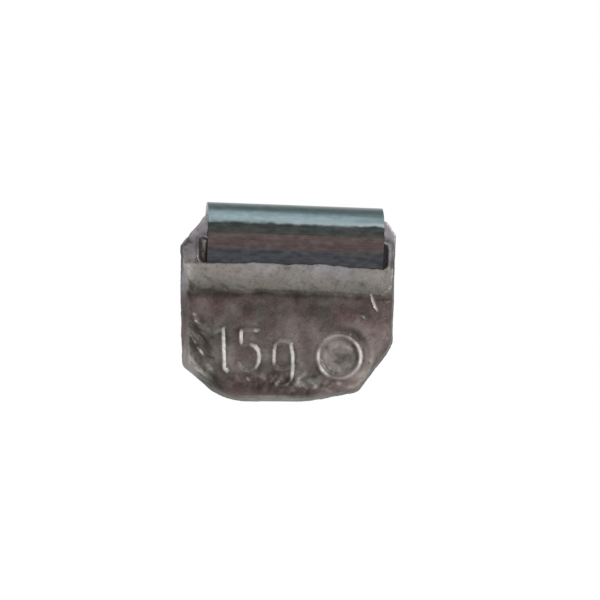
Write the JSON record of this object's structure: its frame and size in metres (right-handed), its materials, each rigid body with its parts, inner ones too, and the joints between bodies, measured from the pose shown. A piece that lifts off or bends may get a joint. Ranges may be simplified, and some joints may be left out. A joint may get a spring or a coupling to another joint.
{
  "type": "clip-on wheel balance weight",
  "caption": "Small cast-lead wheel balance weight with a folded spring-steel clip that hooks over the edge of a pressed steel rim.",
  "frame": {"origin": "centre of the hook's inner bend, midway along the clip", "axes": "+X along the rim's edge, -Y outward from the wheel towards the visible face, +Z radially away from the wheel's centre"},
  "size_m": [0.0237, 0.008, 0.0217],
  "materials": {
    "spring_steel": "zinc-plated strip, rolled finish",
    "cast_lead": "dull, dented cast lead"
  },
  "bodies": {
    "root": {"clip": "spring_steel", "weight_body": "cast_lead"}
  },
  "joints": []
}
